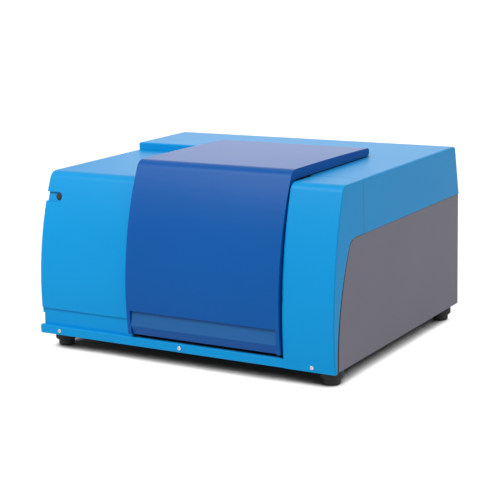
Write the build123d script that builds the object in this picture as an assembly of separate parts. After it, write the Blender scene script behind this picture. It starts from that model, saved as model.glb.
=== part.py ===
from build123d import *
import math
import os

# A bench-top near-infrared analyser: a two-tone blue moulded housing with grey side panels, a large
# hinged lid over the sample compartment, and the optics, sample drive and electronics inside.
# Millimetres. Z is up from the bench, X runs to the right, Y back from the front of the base strip.
# Every piece is moved forward by half the depth when it is written, so the origin is centred.

# Overall housing
BODY_WIDTH = 540.0
BODY_DEPTH = 460.0
FOOT_HEIGHT = 25.0
STRIP_HEIGHT = 14.0
SEAM_HEIGHT = 41.0
PANEL_HEIGHT = 191.0
HOOD_HEIGHT = 273.0
LEFT_DROP = 13.0
LEFT_COVER_WIDTH = 178.0
RIGHT_COVER_WIDTH = 89.0
DECK_DEPTH = 162.0
WALL = 3.0
SHEET = 2.0
SEAM_GAP = 0.6
ARM_GAP = 1.2

# Front curves: how far back the fullest point lies, its height over the base, and the radius
RIGHT_BOW = (-3.2, 62.3, 613.0)
LEFT_BOW = (4.8, 60.8, 472.0)
LID_BOW = (-7.2, 74.4, 479.0)
PANEL_BOW = (11.1, 2.7, 426.5)
RIGHT_CORNER = 14.0
LEFT_CORNER = 17.0
LID_CORNER = 18.0
PANEL_CORNER = 20.0

# Rounded edges of the mouldings
LEFT_INNER_ROUND = 8.0
RIGHT_INNER_ROUND = 5.0
SIDE_ROUND = 2.0
STEP_ROUND = 2.5
STRIP_ROUND = 1.2

# Room in front of each side panel: wider at the foot than at the top
PANEL_ROOM = 4.0
PANEL_ROOM_TURN = 23.0

# Lid
LID_GAP = 1.5
LID_RISE = 16.0
LID_DEPTH = 15.0
LID_BOTTOM = 20.0
LID_FALL = 2.4
LIP_RADIUS = 6.3
HINGE_TO_STEP = 5.5
LID_TO_HOOD = 1.0
GRIP_TOP = 59.0
GRIP_LOW = 34.0
GRIP_DEPTH = 5.5
GRIP_MARGIN = 6.0
PIN_RADIUS = 2.0
EYE_RADIUS = 4.4
EYE_WIDTH = 20.0
ARM_THICK = 4.0
HINGE_INSET = 45.0
HINGE_FIT = 0.4
PIN_FIT = 0.03
LID_OPENING = 75.0

# Hood
ARM_FRONT_Y = 96.6
HOOD_SLOPE = 17.0
HOOD_CORNER = 4.0

# Derived heights and faces
BASE_Z = FOOT_HEIGHT
STRIP_Z = BASE_Z + STRIP_HEIGHT
SEAM_Z = BASE_Z + SEAM_HEIGHT
PANEL_Z = BASE_Z + PANEL_HEIGHT
HOOD_Z = BASE_Z + HOOD_HEIGHT
LEFT_Z = HOOD_Z - LEFT_DROP
LID_Z = HOOD_Z + LID_RISE
HALF = BODY_WIDTH / 2
LID_LEFT = -HALF + LEFT_COVER_WIDTH
LID_RIGHT = HALF - RIGHT_COVER_WIDTH
HOOD_STEP_Y = BODY_DEPTH - DECK_DEPTH
HINGE_Y = HOOD_STEP_Y - HINGE_TO_STEP
HINGE_Z = HOOD_Z + LID_TO_HOOD + LIP_RADIUS
PANEL_FACE = HALF - 1.4
PANEL_INNER = PANEL_FACE - SHEET
SHIFT = Pos(0, -(BODY_DEPTH + LID_BOW[0]) / 2, 0)

nodes = {}


def block(x0, x1, y0, y1, z0, z1):
    """A box between two corners."""
    return Pos((x0 + x1) / 2, (y0 + y1) / 2, (z0 + z1) / 2) * Box(x1 - x0, y1 - y0, z1 - z0)


def rod_x(x0, x1, y, z, radius):
    """A round bar along X."""
    return Pos((x0 + x1) / 2, y, z) * Rot(0, 90, 0) * Cylinder(radius, x1 - x0)


def rod_y(x, y0, y1, z, radius):
    """A round bar along Y."""
    return Pos(x, (y0 + y1) / 2, z) * Rot(90, 0, 0) * Cylinder(radius, y1 - y0)


def rod_z(x, y, z0, z1, radius):
    """A round bar along Z."""
    return Pos(x, y, (z0 + z1) / 2) * Cylinder(radius, z1 - z0)


def across(face, x0, x1):
    """Extrude a side profile, drawn in Y and Z, from x0 to x1."""
    return extrude(Plane.YZ.offset(x0) * face, x1 - x0)


def bow_y(bow, z, inset=0.0):
    """How far back a curved front lies at height z, moved inwards by inset."""
    front, mid, radius = bow
    rise = z - BASE_Z - mid
    inner = radius - inset
    return front + radius - math.sqrt(inner * inner - rise * rise)


def bowed(bow, z0, z1, back, corner=0.0, inset=0.0, top_back=None):
    """A side profile with a curved front, an optional rounded top corner and a straight back."""
    top = z1 if top_back is None else top_back
    low = (bow_y(bow, z0, inset), z0)
    middle = (bow_y(bow, (z0 + z1) / 2, inset), (z0 + z1) / 2)
    high = (bow_y(bow, z1, inset), z1)
    curve = ThreePointArc(low, middle, high)
    rest = Polyline(high, (back, top), (back, z0), low)
    face = make_face([curve] + list(rest.edges()))
    if corner > 0:
        face = fillet(face.vertices().sort_by_distance(Vector(*high))[0], corner)
    return face


def polygon(*points):
    """A flat face through points."""
    return make_face(Polyline(*points, close=True).edges())


def biggest(shape):
    """The largest solid of a cut, as a part."""
    return shape.solids().sort_by(SortBy.VOLUME)[-1]


def union(pieces):
    """All pieces joined into one."""
    whole = pieces[0]
    for piece in pieces[1:]:
        whole = whole + piece
    return whole


def add(name, *solids):
    """Keep one or more solids as a named sub-part."""
    nodes[name] = list(solids)


# Base pan, feet and screws
PAN_SHEET = 2.5
PAN_FRONT = 14.0
PAN_FLANGE = 18.0
REAR_FLANGE = 8.0
FOOT_SIDE = 24.0
FOOT_FRONT = 35.4
FOOT_REAR = 22.8
FOOT_X = HALF - FOOT_SIDE
FOOT_Y = (FOOT_FRONT, BODY_DEPTH - FOOT_REAR)
FOOT_RADIUS = 17.6
FOOT_PAD_RADIUS = 13.0
FOOT_PAD_HEIGHT = 10.0
FOOT_BEVEL = 2.0
FOOT_BORE = 3.2
FOOT_SEAT = 6.0
SCREW_SIDE = 38.0
SCREW_X = HALF - SCREW_SIDE
SCREW_RISE = 7.0
SCREW_HEAD_RADIUS = 3.25
SCREW_HEAD = 1.2
SCREW_RADIUS = 2.0
SCREW_FIT = 0.15

RETURN = 20.0
LIP_DEPTH = 6.0
LOWER_FRONT_Y = 8.2
REAR_PANEL_Y = BODY_DEPTH - WALL - SHEET
CHANNEL_LEFT = LID_LEFT - LID_GAP
CHANNEL_RIGHT = LID_RIGHT + LID_GAP


def panel_face(inset=0.0, top=PANEL_Z, bottom=BASE_Z):
    """The side view of a grey side panel."""
    back = BODY_DEPTH - 1
    return bowed(PANEL_BOW, bottom, top, back, PANEL_CORNER, inset)


def panel_clearance(x0, x1):
    """The room that the moulded covers leave for a side panel."""
    front, mid, radius = PANEL_BOW
    room = (front - PANEL_ROOM, mid, radius - PANEL_ROOM_TURN)
    return across(bowed(room, BASE_Z - 1, PANEL_Z + SEAM_GAP, BODY_DEPTH, PANEL_CORNER), x0, x1)


def front_rims(shape, x, z0, back):
    """The edges of a cover's front and top that lie in the side face at x."""
    edges = shape.edges().filter_by_position(Axis.X, x - SEAM_GAP, x + SEAM_GAP)
    return [edge for edge in edges if edge.center().Y < back - SEAM_GAP and edge.center().Z > z0 + SEAM_GAP]


def cover_shell(bow, z0, z1, back, corner, x0, x1, inner_round):
    """A moulded front cover, open at the back and below, with its edge by the lid well rounded."""
    outer = across(bowed(bow, z0, z1, back, corner), x0, x1)
    hollow = across(bowed(bow, z0 - 1, z1 - WALL, back + 1, corner - WALL, WALL), x0 + WALL, x1 - WALL)
    lid_side, far_side = (x1, x0) if abs(x1) < abs(x0) else (x0, x1)
    inside = lid_side - WALL if lid_side == x1 else lid_side + WALL
    outer = fillet(front_rims(outer, lid_side, z0, back), inner_round)
    outer = fillet(front_rims(outer, far_side, z0, back), SIDE_ROUND)
    hollow = fillet(front_rims(hollow, inside, z0 - 1, back + 1), inner_round - WALL)
    return outer - hollow


def make_bezel():
    """Right cover, base strip and lower left edge, in one moulding."""
    right = cover_shell(RIGHT_BOW, BASE_Z, HOOD_Z, ARM_FRONT_Y, RIGHT_CORNER, CHANNEL_RIGHT, HALF,
                        RIGHT_INNER_ROUND)
    reach = bowed(RIGHT_BOW, BASE_Z - 2, HOOD_Z - RETURN, ARM_FRONT_Y + 2, 0, RETURN)
    right -= across(reach, CHANNEL_RIGHT - 1, CHANNEL_RIGHT + WALL + 1)
    right -= block(CHANNEL_RIGHT - 1, HALF - WALL, WALL, ARM_FRONT_Y, BASE_Z - 1, STRIP_Z - WALL)
    strip = block(-HALF, CHANNEL_RIGHT + WALL, 0, LOWER_FRONT_Y + WALL, BASE_Z, STRIP_Z)
    strip = fillet(strip.edges().filter_by(Axis.X).group_by(Axis.Y)[0], STRIP_ROUND)
    strip -= block(-HALF + WALL, CHANNEL_RIGHT + WALL + 1, WALL, BODY_DEPTH, BASE_Z - 1, STRIP_Z - WALL)
    strip -= block(CHANNEL_LEFT, CHANNEL_RIGHT, LIP_DEPTH, BODY_DEPTH, BASE_Z - 1, STRIP_Z + 1)
    lower = block(-HALF, CHANNEL_LEFT, LOWER_FRONT_Y, LOWER_FRONT_Y + WALL, STRIP_Z - WALL, SEAM_Z)
    lower_side = block(-HALF, -HALF + WALL, LOWER_FRONT_Y, RETURN, STRIP_Z - WALL, SEAM_Z)
    lower_return = block(CHANNEL_LEFT - WALL, CHANNEL_LEFT, LOWER_FRONT_Y, LOWER_FRONT_Y + RETURN,
                         STRIP_Z - WALL, SEAM_Z)
    bezel = union([right, strip, lower, lower_side, lower_return])
    for x, y in strip_screw_places():
        bezel += rod_y(x, 1, PAN_FRONT - SCREW_FIT, BASE_Z + SCREW_RISE, 2 * SCREW_RADIUS)
    bezel -= panel_clearance(PANEL_INNER - 1, HALF + 1)
    bezel -= panel_clearance(-HALF - 1, -PANEL_INNER + 1)
    for x, y in strip_screw_places():
        bezel -= rod_y(x, y - 5, PAN_FRONT + 5, BASE_Z + SCREW_RISE, SCREW_RADIUS + SCREW_FIT)
        bezel -= rod_y(x, y - 5, y, BASE_Z + SCREW_RISE, SCREW_HEAD_RADIUS + SCREW_FIT)
    return biggest(bezel)


def strip_screw_places():
    """Where the three screws of the base strip sit: x and the face under the head."""
    height = BASE_Z + SCREW_RISE
    return [(-SCREW_X, 0.0), (0.0, 0.0), (SCREW_X, bow_y(RIGHT_BOW, height))]


def make_strip_screw(x, y):
    """A pan-head screw from the strip into the pan's front flange."""
    height = BASE_Z + SCREW_RISE
    head = rod_y(x, y - SCREW_HEAD, y, height, SCREW_HEAD_RADIUS)
    head = fillet(head.edges().sort_by(Axis.Y)[0], SCREW_HEAD * 0.6)
    head -= extrude(Plane.XZ.offset(-y + SCREW_HEAD) * Pos(x, height) * RegularPolygon(1.5, 6), -0.8)
    return head + rod_y(x, y, PAN_FRONT + PAN_SHEET + 1, height, SCREW_RADIUS)


def make_left_cover():
    """The cover over the source side, with the wrap-round groove that ends at the button."""
    back = HOOD_STEP_Y - SEAM_GAP
    low = SEAM_Z + SEAM_GAP
    cover = cover_shell(LEFT_BOW, low, LEFT_Z, back, LEFT_CORNER, -HALF, CHANNEL_LEFT, LEFT_INNER_ROUND)
    reach = bowed(LEFT_BOW, low - 2, LEFT_Z - RETURN, back + 2, 0, RETURN)
    cover -= across(reach, CHANNEL_LEFT - WALL - 1, CHANNEL_LEFT + 1)
    z0 = BUTTON_Z - GROOVE / 2
    z1 = BUTTON_Z + GROOVE / 2
    skin = across(bowed(LEFT_BOW, z0 - WALL, z1 + WALL, GROOVE_WRAP, 0, SIDE_ROUND),
                  -HALF + 1, GROOVE_BACKING)
    cover += skin - across(
        bowed(LEFT_BOW, z0 - WALL - 1, z1 + WALL + 1, BODY_DEPTH, 0, GROOVE_DEPTH + WALL),
        -HALF + GROOVE_SIDE + WALL, HALF)
    path = block(-HALF - 1, BUTTON_X, -10, GROOVE_WRAP + 1, z0, z1)
    path += rod_y(BUTTON_X, -10, GROOVE_WRAP + 1, BUTTON_Z, GROOVE / 2)
    floor = bowed(LEFT_BOW, z0 - 1, z1 + 1, GROOVE_WRAP, 0, GROOVE_DEPTH)
    cover -= path - across(floor, -HALF + GROOVE_SIDE, HALF)
    cover += rod_y(BUTTON_X, GROOVE_FLOOR_Y + 2, BUTTON_BOSS_Y, BUTTON_Z, BUTTON_SLEEVE_RADIUS + WALL)
    cover -= rod_y(BUTTON_X, -10, 60, BUTTON_Z, BUTTON_SLEEVE_RADIUS + BUTTON_FIT)
    cover -= panel_clearance(-HALF - 1, -PANEL_INNER + 1)
    return biggest(cover)


def make_hood():
    """The top and rear cover: a deck behind the lid with an arm that runs forward on the right."""
    edge = HALF - 0.9
    back = BODY_DEPTH - HOOD_SLOPE
    front = ARM_FRONT_Y + ARM_GAP
    outer = across(polygon((front, PANEL_Z), (front, HOOD_Z), (back, HOOD_Z), (BODY_DEPTH, PANEL_Z)),
                   -edge, edge)
    rims = outer.edges().filter_by(Axis.Y).group_by(Axis.Z)[-1]
    rear = outer.edges().filter_by(Axis.X).group_by(Axis.Z)[-1].sort_by(Axis.Y)[-1]
    outer = fillet(list(rims) + [rear], HOOD_CORNER)
    inner = across(polygon((0, PANEL_Z - 1), (0, HOOD_Z - WALL), (back - WALL, HOOD_Z - WALL),
                           (BODY_DEPTH - WALL, PANEL_Z), (BODY_DEPTH - WALL, PANEL_Z - 1)),
                   -edge + WALL, edge - WALL)
    hood = outer - inner
    hood -= block(-HALF, CHANNEL_RIGHT, 0, HOOD_STEP_Y, 0, LID_Z)
    hood += block(-edge, CHANNEL_RIGHT, HOOD_STEP_Y, HOOD_STEP_Y + WALL, LEFT_Z - RETURN, HOOD_Z - 1)
    hood += block(CHANNEL_RIGHT, CHANNEL_RIGHT + WALL, front, HOOD_STEP_Y + WALL, HOOD_Z - RETURN, HOOD_Z - 1)
    middle = (HOOD_STEP_Y + STEP_ROUND, HOOD_Z - STEP_ROUND)
    sliver = polygon((HOOD_STEP_Y - 1, middle[1]), middle, (middle[0], HOOD_Z + 1),
                     (HOOD_STEP_Y - 1, HOOD_Z + 1))
    hood -= across(sliver - Pos(*middle) * Circle(STEP_ROUND), -HALF, CHANNEL_RIGHT)
    return biggest(hood)


def make_side_panel(side):
    """A grey sheet-metal side with its top folded inwards."""
    plate = across(panel_face(0, PANEL_Z - SEAM_GAP, BASE_Z + SEAM_GAP), PANEL_INNER, PANEL_FACE)
    front = PANEL_BOW[0] + 80
    plate += block(PANEL_INNER - 12, PANEL_INNER, front, REAR_PANEL_Y - 5,
                   PANEL_Z - SEAM_GAP - SHEET, PANEL_Z - SEAM_GAP)
    return plate if side > 0 else mirror(plate, Plane.YZ)


def make_pan():
    """The folded steel tray that carries everything."""
    top = BASE_Z + PAN_SHEET
    pan = block(-PANEL_INNER, PANEL_INNER, PAN_FRONT, REAR_PANEL_Y + SHEET, BASE_Z, top)
    for side in (-1, 1):
        x0, x1 = sorted((side * PANEL_INNER, side * (PANEL_INNER - SHEET)))
        pan += block(x0, x1, PAN_FRONT + 10, REAR_PANEL_Y, top - 1, top + PAN_FLANGE)
    pan += block(-PANEL_INNER, PANEL_INNER, PAN_FRONT, PAN_FRONT + SHEET, top - 1, STRIP_Z - WALL - SEAM_GAP)
    pan += block(-PANEL_INNER, PANEL_INNER, REAR_PANEL_Y - SHEET, REAR_PANEL_Y, top - 1, top + REAR_FLANGE)
    for x, y in strip_screw_places():
        pan -= rod_y(x, PAN_FRONT - 1, PAN_FRONT + 5, BASE_Z + SCREW_RISE, SCREW_RADIUS + SCREW_FIT)
    for x in (-FOOT_X, FOOT_X):
        for y in FOOT_Y:
            pan -= rod_z(x, y, BASE_Z - 1, top + 1, FOOT_BORE)
    for x in (BOARD_X[0] + BOARD_INSET, BOARD_X[1] - BOARD_INSET):
        for y in (BOARD_Y[0] + BOARD_INSET, BOARD_Y[1] - BOARD_INSET):
            pan += rod_z(x, y, top - 1, top + STANDOFF, STANDOFF_RADIUS)
    return pan


def make_foot(x, y):
    """A rubber foot: a wide flange under the pan and a narrower pad, both with bevelled rims."""
    flange = rod_z(0, 0, FOOT_PAD_HEIGHT, FOOT_HEIGHT, FOOT_RADIUS)
    pad = rod_z(0, 0, 0, FOOT_PAD_HEIGHT + 1, FOOT_PAD_RADIUS)
    foot = chamfer(flange.edges().sort_by(Axis.Z)[0], FOOT_BEVEL)
    foot += chamfer(pad.edges().sort_by(Axis.Z)[0], FOOT_BEVEL)
    foot -= rod_z(0, 0, FOOT_SEAT - 1, FOOT_HEIGHT + 1, FOOT_BORE)
    foot -= rod_z(0, 0, -1, FOOT_SEAT, FOOT_BORE * 2)
    return Pos(x, y, 0) * foot


def make_foot_screw(x, y):
    """The screw up the middle of a foot, with its nut inside the pan."""
    top = BASE_Z + PAN_SHEET
    screw = rod_z(x, y, FOOT_SEAT - 4, FOOT_SEAT, FOOT_BORE * 1.8)
    screw += rod_z(x, y, FOOT_SEAT - 1, top + 8, FOOT_BORE - SCREW_FIT)
    nut = Pos(x, y, top) * extrude(RegularPolygon(5.8, 6), 5)
    return screw + nut


# Power button in its groove
BUTTON_SIDE = 24.0
BUTTON_DROP = 39.0
BUTTON_X = -HALF + BUTTON_SIDE
BUTTON_Z = LEFT_Z - BUTTON_DROP
GROOVE = 15.0
GROOVE_DEPTH = 4.5
GROOVE_SIDE = 2.0
GROOVE_WRAP = 70.0
GROOVE_BACKING = BUTTON_X + GROOVE
GROOVE_FLOOR_Y = bow_y(LEFT_BOW, BUTTON_Z, GROOVE_DEPTH)
BUTTON_BOSS_Y = GROOVE_FLOOR_Y + 9.0
BUTTON_SLEEVE_RADIUS = 6.0
BUTTON_CAP_RADIUS = 4.6
BUTTON_FIT = 0.1
BUTTON_PROUD = 2.5
BUTTON_TRAVEL = 1.5
BUTTON_CAP_LENGTH = 12.0
INDICATOR_RADIUS = 1.6


def make_button_sleeve():
    """The black sleeve of the power button, closed behind, with its nut."""
    front = GROOVE_FLOOR_Y - BUTTON_PROUD
    end = front + BUTTON_CAP_LENGTH + BUTTON_TRAVEL + 5
    sleeve = rod_y(BUTTON_X, front, end, BUTTON_Z, BUTTON_SLEEVE_RADIUS)
    sleeve = chamfer(sleeve.edges().sort_by(Axis.Y)[0], 0.6)
    sleeve += rod_y(BUTTON_X, BUTTON_BOSS_Y, BUTTON_BOSS_Y + WALL, BUTTON_Z, BUTTON_SLEEVE_RADIUS + WALL)
    return sleeve - rod_y(BUTTON_X, front - 1, end - 2, BUTTON_Z, BUTTON_CAP_RADIUS + BUTTON_FIT)


def make_button_cap():
    """The sprung cap, with a pocket for its indicator."""
    front = GROOVE_FLOOR_Y - BUTTON_PROUD - 0.8
    cap = rod_y(BUTTON_X, front, front + BUTTON_CAP_LENGTH, BUTTON_Z, BUTTON_CAP_RADIUS)
    cap = fillet(cap.edges().sort_by(Axis.Y)[0], 0.7)
    return cap - rod_y(BUTTON_X, front - 1, front + 3, BUTTON_Z, INDICATOR_RADIUS)


def make_indicator():
    """The light pipe in the cap."""
    front = GROOVE_FLOOR_Y - BUTTON_PROUD - 0.8
    return rod_y(BUTTON_X, front - 0.2, front + 3, BUTTON_Z, INDICATOR_RADIUS)


# Lid and hinge
LID_LOW_Z = BASE_Z + LID_BOTTOM
HINGE_X = (LID_LEFT + HINGE_INSET, LID_RIGHT - HINGE_INSET)
LID_CROWN = 1.0
INNER_PANEL_DEPTH = 10.0
LEFT_FLANGE_DROP = 12.0


def lid_section(skin, depth, low_z, rear_y, corner):
    """An L-shaped band under the lid's outer curve, from one depth to another."""
    top = LID_Z - skin
    under = LID_Z - depth
    high = (bow_y(LID_BOW, top, skin), top)
    rear = (rear_y, top - LID_FALL)
    crest = ((high[0] + rear_y) / 2, top - LID_FALL / 2 + LID_CROWN)
    low = (bow_y(LID_BOW, low_z, skin), low_z)
    waist = (bow_y(LID_BOW, (low_z + top) / 2, skin), (low_z + top) / 2)
    inner_low = (bow_y(LID_BOW, low_z, depth), low_z)
    inner_waist = (bow_y(LID_BOW, (low_z + under) / 2, depth), (low_z + under) / 2)
    inner_high = (bow_y(LID_BOW, under, depth), under)
    edges = [ThreePointArc(low, waist, high), ThreePointArc(high, crest, rear),
             ThreePointArc(inner_low, inner_waist, inner_high)]
    if rear_y == HINGE_Y:
        tip = (HINGE_Y + LIP_RADIUS, HINGE_Z)
        end = (HINGE_Y, HINGE_Z - LIP_RADIUS)
        edges += [ThreePointArc(rear, tip, end), Line(end, inner_high)]
    else:
        end = (rear_y, under - LID_FALL)
        inner_crest = ((inner_high[0] + rear_y) / 2, under - LID_FALL / 2 + LID_CROWN)
        edges += [Line(rear, end), ThreePointArc(end, inner_crest, inner_high)]
    edges.append(Line(inner_low, low))
    face = make_face(edges)
    face = fillet(face.vertices().sort_by_distance(Vector(*high))[0], corner)
    inner_corner = corner - (depth - skin)
    if inner_corner > 0:
        face = fillet(face.vertices().sort_by_distance(Vector(*inner_high))[0], inner_corner)
    return face


def hinge_notch(x):
    """The room in the lid's lip for a hinge eye and for the arm as the lid swings."""
    half = EYE_WIDTH / 2 + HINGE_FIT
    side = ARM_THICK / 2 + HINGE_FIT
    reach = 2 * LIP_RADIUS
    turn = math.radians(LID_OPENING)
    far = (reach * math.sin(turn) + side * math.cos(turn), side * math.sin(turn) - reach * math.cos(turn))
    near = (side * math.cos(turn), side * math.sin(turn))
    fan = polygon((-side, 0), (-side, -reach), (far[0] - side, -reach), far, near)
    notch = across(Pos(HINGE_Y, HINGE_Z) * fan, x - half, x + half)
    return notch + rod_x(x - half, x + half, HINGE_Y, HINGE_Z, EYE_RADIUS + HINGE_FIT)


def make_lid():
    """The dark-blue lid: an L-shaped shell with side flanges, a grip recess and a rounded rear lip."""
    lid = across(lid_section(0, LID_DEPTH, LID_LOW_Z, HINGE_Y, LID_CORNER), LID_LEFT, LID_RIGHT)
    core_end = HINGE_Y - LIP_RADIUS - WALL
    core = lid_section(WALL, LID_DEPTH + 1, LID_LOW_Z + WALL, core_end, LID_CORNER - WALL)
    lid -= across(core, LID_LEFT + WALL, LID_RIGHT - WALL)
    grip_top = BASE_Z + GRIP_TOP
    grip_low = BASE_Z + GRIP_LOW
    backing = bowed(LID_BOW, LID_LOW_Z, grip_top + WALL, BODY_DEPTH, 0, 1)
    backing -= bowed(LID_BOW, LID_LOW_Z - 1, grip_top + WALL + 1, BODY_DEPTH + 1, 0, GRIP_DEPTH + WALL)
    lid += across(backing, LID_LEFT, LID_RIGHT)
    scoop = polygon((bow_y(LID_BOW, grip_top) - 1, grip_top),
                    (bow_y(LID_BOW, grip_top, GRIP_DEPTH), grip_top),
                    (bow_y(LID_BOW, grip_low), grip_low), (bow_y(LID_BOW, grip_low) - 1, grip_low))
    tuck = polygon((bow_y(LID_BOW, grip_low), grip_low), (bow_y(LID_BOW, LID_LOW_Z) - 5, grip_low),
                   (bow_y(LID_BOW, LID_LOW_Z) - 5, LID_LOW_Z - 1),
                   (bow_y(LID_BOW, LID_LOW_Z, GRIP_DEPTH), LID_LOW_Z - 1))
    for cut in (scoop, tuck):
        lid -= across(cut, LID_LEFT + GRIP_MARGIN, LID_RIGHT - GRIP_MARGIN)
    flange_y = bow_y(LID_BOW, LID_Z - LID_DEPTH, LID_DEPTH)
    lid += block(LID_LEFT, LID_LEFT + WALL, flange_y, core_end, LID_Z - LID_DEPTH - LEFT_FLANGE_DROP,
                 LID_Z - LID_DEPTH)
    for x in HINGE_X:
        lid -= hinge_notch(x)
        lid -= rod_x(x - EYE_WIDTH, x + EYE_WIDTH, HINGE_Y, HINGE_Z, PIN_RADIUS + PIN_FIT)
    return biggest(lid)


def make_lid_inner():
    """The grey inner panel that stiffens the lid and meets the compartment seal."""
    rear = HINGE_Y - LIP_RADIUS - WALL - HINGE_FIT
    low = LID_LOW_Z + 2 * GRIP_DEPTH
    corner = LID_CORNER - INNER_PANEL_DEPTH
    section = lid_section(INNER_PANEL_DEPTH, INNER_PANEL_DEPTH + SHEET, low, rear, corner)
    return across(section, LID_LEFT + WALL, LID_RIGHT - WALL)


def make_hinge_bracket(x):
    """An eye on an arm, with a foot bolted to the back of the compartment."""
    x0, x1 = x - EYE_WIDTH / 2, x + EYE_WIDTH / 2
    y0, y1 = HINGE_Y - ARM_THICK / 2, HINGE_Y + ARM_THICK / 2
    bracket = rod_x(x0, x1, HINGE_Y, HINGE_Z, EYE_RADIUS) + block(x0, x1, y0, y1, BRACKET_Z, HINGE_Z)
    bracket += block(x0, x1, LINER_BACK, y1, BRACKET_Z, BRACKET_Z + EYE_WIDTH)
    return bracket - rod_x(x0 - 1, x1 + 1, HINGE_Y, HINGE_Z, PIN_RADIUS)


def make_hinge_pin(x):
    """A steel pin through a hinge eye and the lid's lip."""
    reach = EYE_WIDTH * 0.9
    return rod_x(x - reach, x + reach, HINGE_Y, HINGE_Z, PIN_RADIUS)


# Sample compartment
ISOLATOR_TALL = 34.5
BENCH_THICK = 12.0
BENCH_Z = BASE_Z + PAN_SHEET + ISOLATOR_TALL
BENCH_TOP = BENCH_Z + BENCH_THICK
BEAM_RISE = 116.0
BEAM_TO_HINGE = 142.5
BEAM_Z = BENCH_TOP + BEAM_RISE
BEAM_Y = HINGE_Y - BEAM_TO_HINGE
LINER_SHEET = 2.5
LINER_INSET = 22.0
APRON_FIT = 0.5
LINER_RISE = 41.0
LINER_DROP = 22.0
LINER_TO_HINGE = 6.0
SILL_RISE = 35.0
LINER_Z = BENCH_TOP + LINER_RISE
LINER_TOP = LID_Z - LINER_DROP
LINER_BACK = HINGE_Y - LINER_TO_HINGE
SILL_Z = LINER_Z + SILL_RISE
LINER_SIDE = 5.0
LINER_LEFT = LID_LEFT + LINER_SIDE
LINER_RIGHT = LID_RIGHT - LINER_SIDE + APRON_FIT
SEAL_HEIGHT = 6.5
PORT_RADIUS = 19.0
PORT_RING = 25.0
BRACKET_DROP = 57.0
BRACKET_Z = LINER_TOP - BRACKET_DROP


def make_liner():
    """The black sample compartment with its beam ports, and the apron that closes the front under the lid."""
    outer = across(bowed(LID_BOW, LINER_Z, LINER_TOP, LINER_BACK, 0, LINER_INSET), LINER_LEFT, LINER_RIGHT)
    hollow = bowed(LID_BOW, LINER_Z + LINER_SHEET, LINER_TOP + 1, LINER_BACK - LINER_SHEET, 0,
                   LINER_INSET + LINER_SHEET)
    x0 = LINER_LEFT + LINER_SHEET
    x1 = LINER_RIGHT - LINER_SHEET
    liner = outer - across(hollow, x0, x1) - block(x0, x1, -50, BEAM_Y, SILL_Z, LINER_TOP + 1)
    liner -= rod_x(LINER_LEFT - 5, LINER_RIGHT + 5, BEAM_Y, BEAM_Z, PORT_RADIUS)
    liner -= rod_z(DRIVE_X, DRIVE_Y, LINER_Z - 1, LINER_Z + 5, MOTOR_BOSS + 1)
    left, right = CHANNEL_LEFT + APRON_FIT, CHANNEL_RIGHT - APRON_FIT
    low = STRIP_Z - WALL + APRON_FIT
    back = bow_y(LID_BOW, low, LINER_INSET + LINER_SHEET)
    apron = across(bowed(LID_BOW, low, SILL_Z, BODY_DEPTH, 0, LINER_INSET), left, right)
    apron -= across(bowed(LID_BOW, low - 1, SILL_Z + 1, BODY_DEPTH + 1, 0, LINER_INSET + LINER_SHEET),
                    left, right)
    ledge = block(left, right, LIP_DEPTH + APRON_FIT, back, low, low + LINER_SHEET)
    return liner + apron + ledge


def make_seal():
    """The foam strip on the two sides and the back of the compartment rim."""
    front = bow_y(LID_BOW, LINER_TOP + SEAL_HEIGHT, LINER_INSET)
    outer = block(LINER_LEFT, LINER_RIGHT, front, LINER_BACK, LINER_TOP, LINER_TOP + SEAL_HEIGHT)
    return outer - block(LINER_LEFT + LINER_SHEET, LINER_RIGHT - LINER_SHEET, 0, LINER_BACK - LINER_SHEET,
                         LINER_TOP - 1, HOOD_Z + 5)


def make_port(side):
    """A beam window and the ring that holds it, on one wall of the compartment."""
    outside = LINER_LEFT if side < 0 else LINER_RIGHT
    inside = outside - side * LINER_SHEET
    end = inside - side * 4
    window = rod_x(min(outside, inside), max(outside, inside), BEAM_Y, BEAM_Z, PORT_RADIUS)
    ring = rod_x(min(inside, end), max(inside, end), BEAM_Y, BEAM_Z, PORT_RING)
    ring -= rod_x(min(inside, end) - 1, max(inside, end) + 1, BEAM_Y, BEAM_Z, PORT_RADIUS - 2)
    return window, chamfer(ring.edges().filter_by(GeomType.CIRCLE).sort_by(Axis.X)[0 if side > 0 else -1], 1)


# Optical bench and what stands on it
BENCH_SIDE = 20.0
BENCH_FRONT = 45.0
BENCH_PAST_LINER = 3.5
BENCH_X = HALF - BENCH_SIDE
BENCH_Y = (BENCH_FRONT, LINER_BACK + BENCH_PAST_LINER)
ISOLATOR_SIDE = 25.0
ISOLATOR_FRONT = 23.0
ISOLATOR_REAR = 22.0
ISOLATOR_X = BENCH_X - ISOLATOR_SIDE
ISOLATOR_Y = (BENCH_Y[0] + ISOLATOR_FRONT, BENCH_Y[1] - ISOLATOR_REAR)
ISOLATOR_RADIUS = 12.0
RIB = 4.0
APERTURE = 18.0
BASE_PLATE = 8.0
CUBE_SIDE = 85.0
CUBE_X = -BENCH_X + CUBE_SIDE
CUBE_HALF = 35.0
CUBE_FLANGE = 6.0
SPLITTER = 5.0
SPLITTER_TALL = 46.0
SPLITTER_FIT = 0.2
MIRROR_THICK = 6.0
MIRROR_GAP = 10.0
MIRROR_TRAVEL = 2.0
STEM_RADIUS = 4.0
STEM_LONG = 30.0
COIL_RADIUS = 15.0
COIL_LONG = 16.0
COIL_WALL = 2.0
MAGNET_WALL = 7.0
RUNNING = 0.3
SOURCE_GAP = 14.0
SOURCE_LONG = 62.0
SOURCE_WALL = 8.0
LAMP_HALF = 26.0
LAMP_SET = 30.0
LAMP_RADIUS = 6.0
FIN_PITCH = 7.0
FIN = 2.4
FIN_TALL = 22.0
LENS = 5.0
LASER_TO_CUBE = 53.0
LASER_X = CUBE_X + LASER_TO_CUBE
LASER_RADIUS = 11.0
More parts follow.
